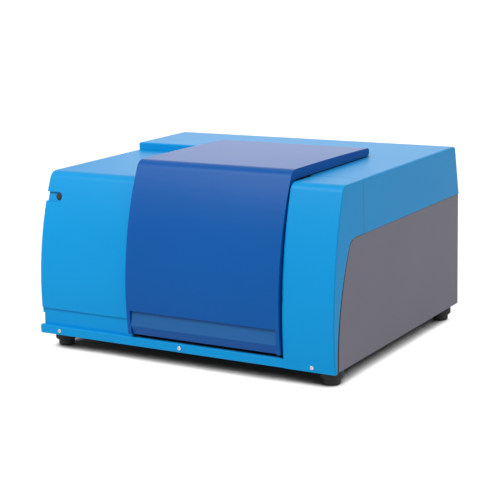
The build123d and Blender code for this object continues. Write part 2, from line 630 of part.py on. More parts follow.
LASER_RISE = 26.0
LASER_LONG = 85.0
SADDLE_LONG = 55.0
SADDLE_INSET = 15.0
DETECTOR_LONG = 54.0
DETECTOR_HALF = 30.0
DETECTOR_RISE = 20.0
DETECTOR_POST = 18.0
DETECTOR_X = BENCH_X - DETECTOR_LONG
SENSOR_RADIUS = 7.0
SENSOR_LONG = 12.0
TUBE_WALL = 3.0


def make_bench():
    """The cast plate with its stiffening ribs."""
    y0, y1 = BENCH_Y
    bench = block(-BENCH_X, BENCH_X, y0, y1, BENCH_Z, BENCH_TOP)
    bench -= block(-BENCH_X + RIB, BENCH_X - RIB, y0 + RIB, y1 - RIB, BENCH_Z - 1, BENCH_TOP - RIB)
    for step in range(-2, 3):
        x = step * BENCH_X / 3
        bench += block(x - RIB / 2, x + RIB / 2, y0, y1, BENCH_Z, BENCH_TOP - RIB + 1)
    middle = (y0 + y1) / 2
    bench += block(-BENCH_X, BENCH_X, middle - RIB / 2, middle + RIB / 2, BENCH_Z, BENCH_TOP - RIB + 1)
    for x in (-ISOLATOR_X, ISOLATOR_X):
        for y in ISOLATOR_Y:
            bench += rod_z(x, y, BENCH_Z, BENCH_TOP - RIB + 1, ISOLATOR_RADIUS)
    return bench


def make_isolator(x, y):
    """A rubber mount, waisted, between the pan and the bench."""
    low, high = BASE_Z + PAN_SHEET, BENCH_Z
    waist = ISOLATOR_RADIUS * 0.75
    half = make_face([Line((0, low), (ISOLATOR_RADIUS, low)), Line((0, high), (ISOLATOR_RADIUS, high)),
                      ThreePointArc((ISOLATOR_RADIUS, low), (waist, (low + high) / 2),
                                    (ISOLATOR_RADIUS, high)),
                      Line((0, low), (0, high))])
    return Pos(x, y, 0) * revolve(Plane.XZ * half, Axis.Z)


def make_cube():
    """The interferometer casting: a cube with crossed bores on a pedestal."""
    x0, x1 = CUBE_X - CUBE_HALF, CUBE_X + CUBE_HALF
    y0, y1 = BEAM_Y - CUBE_HALF, BEAM_Y + CUBE_HALF
    cube = block(x0, x1, y0, y1, BEAM_Z - CUBE_HALF, BEAM_Z + CUBE_HALF)
    cube += block(x0 + BASE_PLATE, x1 - BASE_PLATE, y0 + BASE_PLATE, y1 - BASE_PLATE,
                  BENCH_TOP, BEAM_Z - CUBE_HALF + 1)
    cube += block(x0 - CUBE_FLANGE, x1 + CUBE_FLANGE, y0 - CUBE_FLANGE, y1 + CUBE_FLANGE,
                  BENCH_TOP, BENCH_TOP + BASE_PLATE)
    cube -= rod_x(x0 - 1, x1 + 1, BEAM_Y, BEAM_Z, APERTURE)
    cube -= rod_y(CUBE_X, y0 - 1, y1 + 1, BEAM_Z, APERTURE)
    slot = Box(2 * CUBE_HALF, SPLITTER + 2 * SPLITTER_FIT, SPLITTER_TALL + 2 * SPLITTER_FIT)
    return cube - Pos(CUBE_X, BEAM_Y, BEAM_Z) * Rot(0, 0, 45) * slot


def make_splitter():
    """The beamsplitter plate across the cube's diagonal."""
    return Pos(CUBE_X, BEAM_Y, BEAM_Z) * Rot(0, 0, 45) * Box(2 * CUBE_HALF - 1, SPLITTER, SPLITTER_TALL)


def make_fixed_mirror():
    """The fixed mirror in its cell on the front of the cube."""
    face = BEAM_Y - CUBE_HALF
    cell = rod_y(CUBE_X, face - 1.6 * MIRROR_THICK, face, BEAM_Z, APERTURE + MIRROR_THICK)
    cell -= rod_y(CUBE_X, face - MIRROR_THICK, face + 1, BEAM_Z, APERTURE)
    return cell, rod_y(CUBE_X, face - MIRROR_THICK, face - 1, BEAM_Z, APERTURE)


def make_moving_mirror():
    """The moving mirror, its stem and its coil."""
    face = CUBE_X - CUBE_HALF - MIRROR_GAP
    end = face - STEM_LONG
    mirror_disc = rod_x(face - MIRROR_THICK, face, BEAM_Y, BEAM_Z, APERTURE)
    stem = rod_x(end, face - MIRROR_THICK + 1, BEAM_Y, BEAM_Z, STEM_RADIUS)
    coil = rod_x(end, end + COIL_LONG, BEAM_Y, BEAM_Z, COIL_RADIUS)
    coil -= rod_x(end - 1, end + COIL_LONG - 2 * COIL_WALL, BEAM_Y, BEAM_Z, COIL_RADIUS - COIL_WALL)
    return union([mirror_disc, stem, coil])


def make_mirror_drive():
    """The voice-coil magnet on a bracket, with the gap that the coil moves in."""
    end = CUBE_X - CUBE_HALF - MIRROR_GAP - STEM_LONG
    back = end - MIRROR_TRAVEL - BASE_PLATE
    front = back + COIL_LONG + MIRROR_TRAVEL
    half = COIL_RADIUS + CUBE_FLANGE
    drive = rod_x(back, front, BEAM_Y, BEAM_Z, COIL_RADIUS + MAGNET_WALL)
    drive += block(back, front, BEAM_Y - COIL_RADIUS, BEAM_Y + COIL_RADIUS, BENCH_TOP, BEAM_Z)
    drive += block(back, front, BEAM_Y - half, BEAM_Y + half, BENCH_TOP, BENCH_TOP + BASE_PLATE)
    drive -= rod_x(back + BASE_PLATE - 2, front + 1, BEAM_Y, BEAM_Z, COIL_RADIUS + RUNNING)
    core = rod_x(back + BASE_PLATE - 3, front, BEAM_Y, BEAM_Z, COIL_RADIUS - COIL_WALL - RUNNING)
    return drive + (core - rod_x(back + BASE_PLATE - 3, front + 1, BEAM_Y, BEAM_Z, STEM_RADIUS + SLIDE_FIT))


def make_source():
    """The lamp housing with its heat-sink fins, the lamp and the collimating lens."""
    y0 = BEAM_Y + CUBE_HALF + SOURCE_GAP
    y1 = y0 + SOURCE_LONG
    x0, x1 = CUBE_X - CUBE_HALF, CUBE_X + CUBE_HALF
    top = BEAM_Z + CUBE_HALF
    housing = block(x0, x1, y0, y1, BENCH_TOP, top)
    housing -= block(x0 + SOURCE_WALL, x1 - SOURCE_WALL, y0 + SOURCE_WALL - 2, y1 - SOURCE_WALL,
                     BEAM_Z - LAMP_HALF, BEAM_Z + LAMP_HALF)
    housing -= rod_y(CUBE_X, y0 - 1, y0 + SOURCE_WALL, BEAM_Z, APERTURE)
    fins = int(SOURCE_LONG / FIN_PITCH)
    for index in range(fins):
        y = y0 + (index + 0.5) * SOURCE_LONG / fins
        housing += block(x0, x1, y - FIN / 2, y + FIN / 2, top - 1, top + FIN_TALL)
    lamp = rod_z(CUBE_X, y0 + LAMP_SET, BEAM_Z - LAMP_HALF, BEAM_Z - LAMP_HALF / 3, 1.3 * LAMP_RADIUS)
    lamp += rod_z(CUBE_X, y0 + LAMP_SET, BEAM_Z - LAMP_HALF / 3 - 1, BEAM_Z + LAMP_HALF / 3, LAMP_RADIUS)
    holder = rod_y(CUBE_X, y0 - SOURCE_GAP, y0, BEAM_Z, APERTURE + TUBE_WALL)
    holder -= rod_y(CUBE_X, y0 - SOURCE_GAP - 1, y0 + 1, BEAM_Z, APERTURE)
    lens = rod_y(CUBE_X, y0 - SOURCE_GAP + LENS, y0 - SOURCE_GAP + 2 * LENS, BEAM_Z, APERTURE)
    return housing, lamp, holder, lens


def make_laser():
    """The reference laser in its saddle."""
    z = BENCH_TOP + LASER_RISE
    y1 = BENCH_Y[1] - LENS
    tube = rod_y(LASER_X, y1 - LASER_LONG, y1, z, LASER_RADIUS)
    half = LASER_RADIUS + TUBE_WALL
    saddle = block(LASER_X - half, LASER_X + half, y1 - SADDLE_INSET - SADDLE_LONG, y1 - SADDLE_INSET,
                   BENCH_TOP, z)
    return tube, saddle - rod_y(LASER_X, y1 - LASER_LONG - 1, y1 + 1, z, LASER_RADIUS)


def make_beam_tube(x0, x1):
    """A black tube that keeps light in between the optics and a port."""
    tube = rod_x(x0, x1, BEAM_Y, BEAM_Z, APERTURE + TUBE_WALL)
    return tube - rod_x(x0 - 1, x1 + 1, BEAM_Y, BEAM_Z, APERTURE)


def make_detector():
    """The detector block on its pedestal, the focusing lens, and the detector on its small board."""
    x0, x1 = DETECTOR_X, DETECTOR_X + DETECTOR_LONG
    y0, y1 = BEAM_Y - DETECTOR_HALF, BEAM_Y + DETECTOR_HALF
    low = BEAM_Z - DETECTOR_HALF
    housing = block(x0, x1, y0, y1, low, BEAM_Z + DETECTOR_RISE)
    housing += block(x0 + SENSOR_LONG, x1 - SENSOR_LONG, BEAM_Y - DETECTOR_POST, BEAM_Y + DETECTOR_POST,
                     BENCH_TOP, low + 1)
    housing += block(x0, x1, y0, y1, BENCH_TOP, BENCH_TOP + BASE_PLATE)
    housing -= rod_x(x0 - 1, x1 - SENSOR_LONG - 2, BEAM_Y, BEAM_Z, APERTURE)
    housing -= rod_x(x1 - SENSOR_LONG - 3, x1 + 1, BEAM_Y, BEAM_Z, SENSOR_RADIUS)
    lens = rod_x(x0 + 2, x0 + 2 + LENS, BEAM_Y, BEAM_Z, APERTURE)
    sensor = rod_x(x1 - SENSOR_LONG, x1, BEAM_Y, BEAM_Z, SENSOR_RADIUS)
    sensor += block(x1, x1 + BOARD_THICK, y0 + 2, y1 - 2, low + 2, BEAM_Z + DETECTOR_RISE - 2)
    return housing, lens, sensor


# Sample cell and its lift
DRIVE_X = (LID_LEFT + LID_RIGHT) / 2
DRIVE_TO_WALL = 24.5
DRIVE_Y = LINER_BACK - DRIVE_TO_WALL
MOTOR_HALF = 17.5
MOTOR_TALL = 34.0
MOTOR_BOSS = 11.0
GUIDE_SPACING = 30.0
GUIDE_RADIUS = 5.0
LIFT_RADIUS = 4.0
COUPLING_RADIUS = 9.0
COUPLING_TALL = 20.0
SLIDE_FIT = 0.05
CARRIAGE_RISE = 30.0
CARRIAGE_Z = LINER_Z + CARRIAGE_RISE
CARRIAGE_TALL = 30.0
SHELF = 5.0
CELL_HALF = 15.0
CELL_LONG = 84.0
CELL_Y = (BEAM_Y - CELL_LONG / 2, BEAM_Y + CELL_LONG / 2)
CELL_TALL = 86.0
CELL_WALL = 4.0
CELL_GLASS = 2.5
CELL_FIT = 0.2
PANE_HALF = 22.0
PANE_CORNER = 8.0
TOP_PLATE_DROP = 13.0
TOP_PLATE_Z = LINER_TOP - TOP_PLATE_DROP
TOP_PLATE = 6.0


def guide_places():
    """The two guide rods of the lift."""
    return (DRIVE_X - GUIDE_SPACING, DRIVE_X + GUIDE_SPACING)


def make_motor():
    """The stepper motor under the compartment floor, with its boss through the floor."""
    motor = block(DRIVE_X - MOTOR_HALF, DRIVE_X + MOTOR_HALF, DRIVE_Y - MOTOR_HALF, DRIVE_Y + MOTOR_HALF,
                  LINER_Z - MOTOR_TALL, LINER_Z)
    motor = chamfer(motor.edges().filter_by(Axis.Z), 3)
    return motor + rod_z(DRIVE_X, DRIVE_Y, LINER_Z - 1, LINER_Z + LINER_SHEET, MOTOR_BOSS)


def make_lead_screw():
    """The lift screw and the coupling at its foot."""
    foot = LINER_Z + LINER_SHEET + RUNNING
    screw = rod_z(DRIVE_X, DRIVE_Y, foot, TOP_PLATE_Z + TOP_PLATE, LIFT_RADIUS)
    coupling = rod_z(DRIVE_X, DRIVE_Y, foot, foot + COUPLING_TALL, COUPLING_RADIUS)
    return screw, coupling - rod_z(DRIVE_X, DRIVE_Y, foot - 1, foot + COUPLING_TALL + 1, LIFT_RADIUS)


def make_guides():
    """The two guide rods."""
    low, high = LINER_Z + LINER_SHEET, TOP_PLATE_Z + TOP_PLATE
    return [rod_z(x, DRIVE_Y, low, high, GUIDE_RADIUS) for x in guide_places()]


def make_top_plate():
    """The plate that ties the rods to the back wall and carries the upper screw bearing."""
    reach = GUIDE_SPACING + 3 * GUIDE_RADIUS
    low, high = TOP_PLATE_Z, TOP_PLATE_Z + TOP_PLATE
    plate = block(DRIVE_X - reach, DRIVE_X + reach, DRIVE_Y - 3 * GUIDE_RADIUS, LINER_BACK - LINER_SHEET,
                  low, high)
    plate = fillet(plate.edges().filter_by(Axis.Z).sort_by(Axis.Y)[:2], TOP_PLATE)
    for x in guide_places():
        plate -= rod_z(x, DRIVE_Y, low - 1, high + 1, GUIDE_RADIUS)
    return plate - rod_z(DRIVE_X, DRIVE_Y, low - 1, high + 1, LIFT_RADIUS + SLIDE_FIT)


def make_carriage():
    """The carriage on the rods, with a shelf and a raised rim for the cell."""
    reach = GUIDE_SPACING + 2 * GUIDE_RADIUS
    half_y = 2 * GUIDE_RADIUS + 2
    low, high = CARRIAGE_Z, CARRIAGE_Z + CARRIAGE_TALL
    carriage = block(DRIVE_X - reach, DRIVE_X + reach, DRIVE_Y - half_y, DRIVE_Y + half_y, low, high)
    y0, y1 = CELL_Y
    rim = CELL_WALL + CELL_FIT
    x0, x1 = DRIVE_X - CELL_HALF, DRIVE_X + CELL_HALF
    carriage += block(x0 - rim, x1 + rim, y0 - rim, DRIVE_Y, low, low + SHELF)
    carriage += block(x0 - rim, x1 + rim, y0 - rim, y1 + rim, low, low + 2 * SHELF)
    carriage -= block(x0 - CELL_FIT, x1 + CELL_FIT, y0 - CELL_FIT, y1 + CELL_FIT,
                      low + SHELF, low + 3 * SHELF)
    web = polygon((DRIVE_Y - half_y, low + SHELF), (DRIVE_Y - half_y, high), (y1 + rim, low + SHELF))
    carriage += across(web, DRIVE_X - SHELF / 2, DRIVE_X + SHELF / 2)
    for x in guide_places():
        carriage -= rod_z(x, DRIVE_Y, low - 1, high + 1, GUIDE_RADIUS + SLIDE_FIT)
    return carriage - rod_z(DRIVE_X, DRIVE_Y, low - 1, high + 1, LIFT_RADIUS + SLIDE_FIT)


def make_cell():
    """The sample cell: an open-topped box with a tall window on each side, and its two glasses."""
    y0, y1 = CELL_Y
    z0 = CARRIAGE_Z + SHELF
    x0, x1 = DRIVE_X - CELL_HALF, DRIVE_X + CELL_HALF
    cell = block(x0, x1, y0, y1, z0, z0 + CELL_TALL)
    cell -= block(x0 + CELL_WALL, x1 - CELL_WALL, y0 + CELL_WALL, y1 - CELL_WALL,
                  z0 + CELL_WALL, z0 + CELL_TALL + 1)
    low, high = z0 + 3 * CELL_WALL, z0 + CELL_TALL - 2 * CELL_WALL
    window = block(x0 - 1, x1 + 1, BEAM_Y - PANE_HALF, BEAM_Y + PANE_HALF, low, high)
    cell -= fillet(window.edges().filter_by(Axis.X), PANE_CORNER)
    glasses = []
    for side in (x0, x1 - CELL_GLASS):
        pane = block(side, side + CELL_GLASS, BEAM_Y - PANE_HALF, BEAM_Y + PANE_HALF, low, high)
        glasses.append(fillet(pane.edges().filter_by(Axis.X), PANE_CORNER))
    return cell, glasses


# Electronics and the rear panel
REAR_TOP = PANEL_Z - 2.0
SUPPLY_SIDE = 30.0
SUPPLY_WIDE = 130.0
SUPPLY_DEEP = 105.0
SUPPLY_TO_REAR = 30.0
SUPPLY_X = (-HALF + SUPPLY_SIDE, -HALF + SUPPLY_SIDE + SUPPLY_WIDE)
SUPPLY_Y = (REAR_PANEL_Y - SUPPLY_TO_REAR - SUPPLY_DEEP, REAR_PANEL_Y - SUPPLY_TO_REAR)
SUPPLY_TALL = 45.0
SUPPLY_SLOTS = 8
BOARD_X = (-70.0, 120.0)
BOARD_DEEP = 120.0
BOARD_TO_REAR = 15.0
BOARD_Y = (REAR_PANEL_Y - BOARD_TO_REAR - BOARD_DEEP, REAR_PANEL_Y - BOARD_TO_REAR)
BOARD_INSET = 6.0
STANDOFF = 10.0
STANDOFF_RADIUS = 4.0
BOARD_THICK = 1.6
COMPONENTS = ((50.0, 30.0, 36.0, 36.0, 4.0), (120.0, 30.0, 28.0, 28.0, 3.0),
              (160.0, 80.0, 20.0, 30.0, 12.0), (25.0, 90.0, 24.0, 16.0, 9.0))
FAN_SIDE = 75.0
FAN_RISE = 90.0
FAN_X = HALF - FAN_SIDE
FAN_Z = BASE_Z + FAN_RISE
FAN_HALF = 40.0
FAN_DEPTH = 25.0
FAN_BORE = 37.0
FAN_HUB = 16.0
FAN_BLADES = 7
FAN_TIP_GAP = 1.0
INLET_SIDE = 70.0
INLET_RISE = 75.0
INLET_X = -HALF + INLET_SIDE
INLET_Z = BASE_Z + INLET_RISE
INLET_WIDE = 27.0
INLET_TALL = 20.0
INLET_DEEP = 18.0
ROCKER_TO_INLET = 50.0
ROCKER_X = INLET_X + ROCKER_TO_INLET
ROCKER_WIDE = 13.0
ROCKER_TALL = 21.0
USB_X = 30.0
USB_WIDE = 13.0
USB_TALL = 6.0
USB_WALL = 0.7
VENT_SLOTS = 9


def make_rear_panel():
    """The sheet-metal back with its cut-outs and vent slots."""
    y0, y1 = REAR_PANEL_Y, REAR_PANEL_Y + SHEET
    edge = PANEL_INNER - 0.5
    panel = block(-edge, edge, y0, y1, BASE_Z + PAN_SHEET, REAR_TOP)
    panel -= block(INLET_X - 14.5, INLET_X + 14.5, y0 - 1, y1 + 1, INLET_Z - 11, INLET_Z + 11)
    panel -= block(ROCKER_X - ROCKER_WIDE / 2 - 2, ROCKER_X + ROCKER_WIDE / 2 + 2, y0 - 1, y1 + 1,
                   INLET_Z - ROCKER_TALL / 2 - 2, INLET_Z + ROCKER_TALL / 2 + 2)
    panel -= rod_y(FAN_X, y0 - 1, y1 + 1, FAN_Z, FAN_BORE)
    low = BASE_Z + PAN_SHEET + STANDOFF + BOARD_THICK
    for x in (USB_X, USB_X + 2 * USB_WIDE):
        panel -= block(x - 1, x + USB_WIDE + 1, y0 - 1, y1 + 1, low - 0.5, low + USB_TALL + 1)
    for row in range(VENT_SLOTS):
        z = PANEL_Z - 30 - row * 9
        slot = Plane.XZ.offset(-y1 - 1) * Pos(-20, z) * SlotOverall(90, 4)
        panel -= extrude(slot, SHEET + 2)
    return panel


def make_fan():
    """The square fan frame with its spider, and the rotor."""
    y0, y1 = REAR_PANEL_Y - FAN_DEPTH, REAR_PANEL_Y
    frame = block(FAN_X - FAN_HALF, FAN_X + FAN_HALF, y0, y1, FAN_Z - FAN_HALF, FAN_Z + FAN_HALF)
    frame = fillet(frame.edges().filter_by(Axis.Y), 4) - rod_y(FAN_X, y0 - 1, y1 + 1, FAN_Z, FAN_BORE)
    for turn in range(4):
        strut = Pos(FAN_X, y0 + 1.5, FAN_Z) * Rot(0, 45 + 90 * turn, 0) * Pos(FAN_BORE / 2, 0, 0) * Box(
            FAN_BORE + 2, 3, 4)
        frame += strut
    frame += rod_y(FAN_X, y0, y0 + 3, FAN_Z, FAN_HUB)
    frame += rod_y(FAN_X, y0, y0 + 12, FAN_Z, 4)
    rotor = rod_y(FAN_X, y0 + 4, y1 - 3, FAN_Z, FAN_HUB)
    reach = FAN_BORE - FAN_TIP_GAP
    for index in range(FAN_BLADES):
        blade = Rot(28, 0, 0) * Box(reach - FAN_HUB + 3, 1.6, 16)
        blade = Pos((reach + FAN_HUB - 3) / 2, 0, 0) * blade
        rotor += Pos(FAN_X, (y0 + y1) / 2 + 1, FAN_Z) * Rot(0, 360 / FAN_BLADES * index, 0) * blade
    rotor &= rod_y(FAN_X, y0 + 4, y1 - 2, FAN_Z, reach)
    rotor -= rod_y(FAN_X, y0 + 3, y0 + 13, FAN_Z, 4 + SLIDE_FIT)
    return frame, rotor


def make_fan_guard():
    """The wire guard on the back of the fan opening."""
    y = REAR_PANEL_Y + SHEET
    guard = rod_y(FAN_X, y, y + 1.5, FAN_Z, 8)
    for radius in (16, 24, 32, 40):
        guard += rod_y(FAN_X, y, y + 1.5, FAN_Z, radius) - rod_y(FAN_X, y - 1, y + 3, FAN_Z, radius - 1.5)
    for turn in range(4):
        guard += Pos(FAN_X, y + 0.75, FAN_Z) * Rot(0, 45 * turn, 0) * Box(80, 1.5, 2)
    return guard


def make_inlet():
    """The three-pin mains inlet."""
    y1 = REAR_PANEL_Y + SHEET
    inlet = block(INLET_X - 25, INLET_X + 25, y1, y1 + 2, INLET_Z - 15, INLET_Z + 15)
    inlet = fillet(inlet.edges().filter_by(Axis.Y), 4)
    inlet += block(INLET_X - 14.4, INLET_X + 14.4, y1 - 22, y1 + 1, INLET_Z - 10.9, INLET_Z + 10.9)
    socket = block(INLET_X - INLET_WIDE / 2 + 1.5, INLET_X + INLET_WIDE / 2 - 1.5, y1 - INLET_DEEP, y1 + 3,
                   INLET_Z - INLET_TALL / 2 + 1.5, INLET_Z + INLET_TALL / 2 - 1.5)
    inlet -= chamfer(socket.edges().filter_by(Axis.Y).group_by(Axis.Z)[-1], 4)
    for x, z in ((-7, -2), (0, 3), (7, -2)):
        inlet += block(INLET_X + x - 1, INLET_X + x + 1, y1 - INLET_DEEP - 1, y1 - 3,
                       INLET_Z + z - 2, INLET_Z + z + 2)
    return inlet


def make_switch():
    """The mains switch: its frame, and the rocker that tilts about a cross pin."""
    y1 = REAR_PANEL_Y + SHEET
    half_x, half_z = ROCKER_WIDE / 2, ROCKER_TALL / 2
    frame = block(ROCKER_X - half_x - 4, ROCKER_X + half_x + 4, y1, y1 + 2,
                  INLET_Z - half_z - 4, INLET_Z + half_z + 4)
    frame += block(ROCKER_X - half_x - 1.9, ROCKER_X + half_x + 1.9, y1 - 18, y1 + 1,
                   INLET_Z - half_z - 1.9, INLET_Z + half_z + 1.9)
    frame -= block(ROCKER_X - half_x - 0.3, ROCKER_X + half_x + 0.3, y1 - 15, y1 + 3,
                   INLET_Z - half_z - 0.3, INLET_Z + half_z + 0.3)
    frame += rod_x(ROCKER_X - half_x - 1, ROCKER_X + half_x + 1, y1 - 4, INLET_Z, 1.5)
    profile = polygon((y1 - 9, INLET_Z - 4), (y1 - 2, INLET_Z - half_z + 1), (y1 + 1.5, INLET_Z - half_z + 1),
                      (y1 - 0.2, INLET_Z), (y1 + 1.5, INLET_Z + half_z - 1), (y1 - 2, INLET_Z + half_z - 1),
                      (y1 - 9, INLET_Z + 4))
    rocker = across(profile, ROCKER_X - half_x, ROCKER_X + half_x)
    return frame, rocker - rod_x(ROCKER_X - 20, ROCKER_X + 20, y1 - 4, INLET_Z, 1.5 + SLIDE_FIT)


def make_supply():
    """The mains supply in its folded case with a vented lid."""
    x0, x1 = SUPPLY_X
    y0, y1 = SUPPLY_Y
    z0 = BASE_Z + PAN_SHEET
    z1 = z0 + SUPPLY_TALL
    supply = block(x0, x1, y0, y1, z0, z1)
    pitch = (x1 - x0) / (SUPPLY_SLOTS + 1)
    for step in range(SUPPLY_SLOTS):
        x = x0 + (step + 1) * pitch
        supply -= block(x - SHEET, x + SHEET, y0 + pitch, y1 - pitch, z1 - SHEET, z1 + 1)
    return supply


def make_board():
    """The control board with its larger components, and the two data sockets at its back edge."""
    x0, x1 = BOARD_X
    y0, y1 = BOARD_Y
    z0 = BASE_Z + PAN_SHEET + STANDOFF
    z1 = z0 + BOARD_THICK
    board = block(x0, x1, y0, y1, z0, z1)
    for along, back, wide, deep, tall in COMPONENTS:
        x, y = x0 + along, y0 + back
        board += block(x - wide / 2, x + wide / 2, y - deep / 2, y + deep / 2,
                       z0 + BOARD_THICK / 2, z1 + tall)
    sockets = []
    for x in (USB_X, USB_X + 2 * USB_WIDE):
        socket = block(x, x + USB_WIDE, y1 - 4, REAR_PANEL_Y + SHEET, z1, z1 + USB_TALL)
        mouth = block(x + USB_WALL, x + USB_WIDE - USB_WALL, y1, REAR_PANEL_Y + 2 * SHEET,
                      z1 + USB_WALL, z1 + USB_TALL - USB_WALL)
        sockets.append(socket - mouth)
    return board, sockets


# Lid sensor and magnet
MAGNET_RADIUS = 5.0
MAGNET_X = LINER_RIGHT - LINER_SHEET - 12.0


def make_magnet():
    """The magnet under the lid that tells the sensor that it is shut."""
    y = bow_y(LID_BOW, LINER_TOP, LINER_INSET) + 30
    top = LID_Z - INNER_PANEL_DEPTH - SHEET
    above = lid_section(0, INNER_PANEL_DEPTH + SHEET, LID_LOW_Z, HINGE_Y - LIP_RADIUS, LID_CORNER)
    magnet = rod_z(MAGNET_X, y, top - 5, top + 3, MAGNET_RADIUS)
    magnet = biggest(magnet - across(above, LID_LEFT, LID_RIGHT))
    sensor = block(MAGNET_X - 6, MAGNET_X + 12, y - 7, y + 7, top - 15, top - 9)
    return magnet, sensor


# Everything in place
add("front_bezel", make_bezel())
add("left_cover", make_left_cover())
add("hood", make_hood())
add("right_side_panel", make_side_panel(1))
add("left_side_panel", make_side_panel(-1))
add("rear_panel", make_rear_panel())
add("base_pan", make_pan())
for row, y in zip(("front", "rear"), FOOT_Y):
    for side, x in (("left", -FOOT_X), ("right", FOOT_X)):
        add(f"foot_{row}_{side}", make_foot(x, y))
add("foot_screws", *[make_foot_screw(x, y) for x in (-FOOT_X, FOOT_X) for y in FOOT_Y])
add("strip_screws", *[make_strip_screw(x, y) for x, y in strip_screw_places()])
add("button_sleeve", make_button_sleeve())
add("power_button", make_button_cap())
add("button_indicator", make_indicator())
add("lid", make_lid())
add("lid_inner_panel", make_lid_inner())
add("hinge_brackets", *[make_hinge_bracket(x) for x in HINGE_X])
add("hinge_pins", *[make_hinge_pin(x) for x in HINGE_X])
magnet, sensor = make_magnet()
add("lid_magnet", magnet)
add("lid_sensor", sensor)
add("compartment_liner", make_liner())
add("compartment_seal", make_seal())
left_window, left_ring = make_port(-1)
right_window, right_ring = make_port(1)
add("port_windows", left_window, right_window)
add("port_rings", left_ring, right_ring)
add("optical_bench", make_bench())
add("bench_isolators", *[make_isolator(x, y) for x in (-ISOLATOR_X, ISOLATOR_X) for y in ISOLATOR_Y])
add("interferometer_block", make_cube())
add("beamsplitter", make_splitter())
mirror_cell, fixed_mirror = make_fixed_mirror()
add("fixed_mirror_cell", mirror_cell)
add("fixed_mirror", fixed_mirror)
add("moving_mirror", make_moving_mirror())
add("mirror_drive", make_mirror_drive())
source_housing, lamp, holder, source_lens = make_source()
add("source_housing", source_housing)
add("source_lamp", lamp)
add("source_lens_holder", holder)
laser_tube, laser_saddle = make_laser()
add("reference_laser", laser_tube)
add("laser_saddle", laser_saddle)
add("beam_tubes", make_beam_tube(CUBE_X + CUBE_HALF, LINER_LEFT), make_beam_tube(LINER_RIGHT, DETECTOR_X))
detector_housing, detector_lens, detector = make_detector()
add("detector_housing", detector_housing)
add("detector", detector)
add("beam_lenses", source_lens, detector_lens)
add("stepper_motor", make_motor())
lead_screw, coupling = make_lead_screw()
add("lead_screw", lead_screw)
add("shaft_coupling", coupling)
add("guide_rods", *make_guides())
add("lift_top_plate", make_top_plate())
add("cell_carriage", make_carriage())
cell, cell_glasses = make_cell()
add("sample_cell", cell)
add("cell_windows", *cell_glasses)
fan_frame, fan_rotor = make_fan()
add("fan_frame", fan_frame)
add("fan_rotor", fan_rotor)
add("fan_guard", make_fan_guard())
add("mains_inlet", make_inlet())
switch_frame, rocker = make_switch()
add("mains_switch", switch_frame)
add("mains_rocker", rocker)
add("power_supply", make_supply())
board, data_sockets = make_board()
add("control_board", board)
add("data_sockets", *data_sockets)

os.makedirs("parts", exist_ok=True)
for name, solids in nodes.items():
    placed = []
    for solid in solids:
        placed += (SHIFT * solid).solids()
    export_step(placed[0] if len(placed) == 1 else Compound(children=placed), f"parts/{name}.step")
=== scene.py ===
# %% [markdown]
# A bench-top near-infrared analyser, dressed for the camera. The rigid model is already built at
# real size in metres, so this script only adds finishes, small fittings, light and a camera. It
# starts by loading the model, because every later step asks it where things are.

# %% Load the built model
import math

import bmesh
import bpy
from mathutils import Matrix, Vector


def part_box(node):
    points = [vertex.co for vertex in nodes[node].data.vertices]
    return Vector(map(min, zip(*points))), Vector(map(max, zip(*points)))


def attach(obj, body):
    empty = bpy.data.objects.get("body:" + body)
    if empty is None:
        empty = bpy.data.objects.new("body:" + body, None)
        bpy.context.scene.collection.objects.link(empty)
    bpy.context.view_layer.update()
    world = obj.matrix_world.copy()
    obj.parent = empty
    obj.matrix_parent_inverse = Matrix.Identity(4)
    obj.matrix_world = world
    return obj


MM = 0.001

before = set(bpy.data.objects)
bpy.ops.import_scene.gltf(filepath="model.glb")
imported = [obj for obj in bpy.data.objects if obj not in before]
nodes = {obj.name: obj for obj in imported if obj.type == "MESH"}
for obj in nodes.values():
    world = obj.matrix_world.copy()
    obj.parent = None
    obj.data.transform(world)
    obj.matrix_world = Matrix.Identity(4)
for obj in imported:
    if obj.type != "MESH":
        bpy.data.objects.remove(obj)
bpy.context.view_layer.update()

# %% [markdown]
# A few helpers carry the whole script. Paint and plastic colours are written as sRGB hex values,
# the way a colour chart gives them, and the shader wants linear light, so one function converts.
# Another adds a shader node, sets its values and joins its links in a single call. The last two
# make a material with them and give it to built parts.

# %% Colour, node and material helpers
def linear(hex_colour):
    """An sRGB hex colour as linear red, green, blue and full alpha."""
    channels = [int(hex_colour[i:i + 2], 16) / 255 for i in (1, 3, 5)]
    curve = [c / 12.92 if c <= 0.04045 else ((c + 0.055) / 1.055) ** 2.4 for c in channels]
    return (*curve, 1.0)


def add(tree, kind, settings=None, **links):
    """A new shader node. Settings are attributes or socket values, links join sockets."""
    node = tree.nodes.new(kind)
    for name, value in (settings or {}).items():
        if hasattr(node, name):
            setattr(node, name, value)
        else:
            node.inputs[name].default_value = value
    for name, source in links.items():
        tree.links.new(source, node.inputs[name.replace("_", " ")])
    return node


def material(name, colour, **shader_values):
    """A material with one plain shader. Its values are constants on the shader's own sockets."""
    made = bpy.data.materials.new(name)
    made.use_nodes = True
    shader = made.node_tree.nodes["Principled BSDF"]
    shader.inputs["Base Color"].default_value = linear(colour)
    for socket, value in shader_values.items():
        shader.inputs[socket.replace("_", " ")].default_value = value
    made.diffuse_color = linear(colour)
    return made


def finish_nodes(finish, *node_names):
    """Give built parts their finish, in every material slot that they have."""
    for node_name in node_names:
        part = nodes[node_name]
        if not part.data.materials:
            part.data.materials.append(finish)
        for slot in part.material_slots:
            slot.material = finish


# %% [markdown]
# Spark-eroded texture is what makes a moulded cover look moulded. The steel tool is etched with
# grains about a third of a millimetre across, and the plastic copies them. The render shows about
# 1.6 mm to a pixel, so the grain is drawn at 0.9 mm: it reads as a soft break in the highlight. A
# large faint noise also lets the colour drift by a few percent, as flow in the mould does.

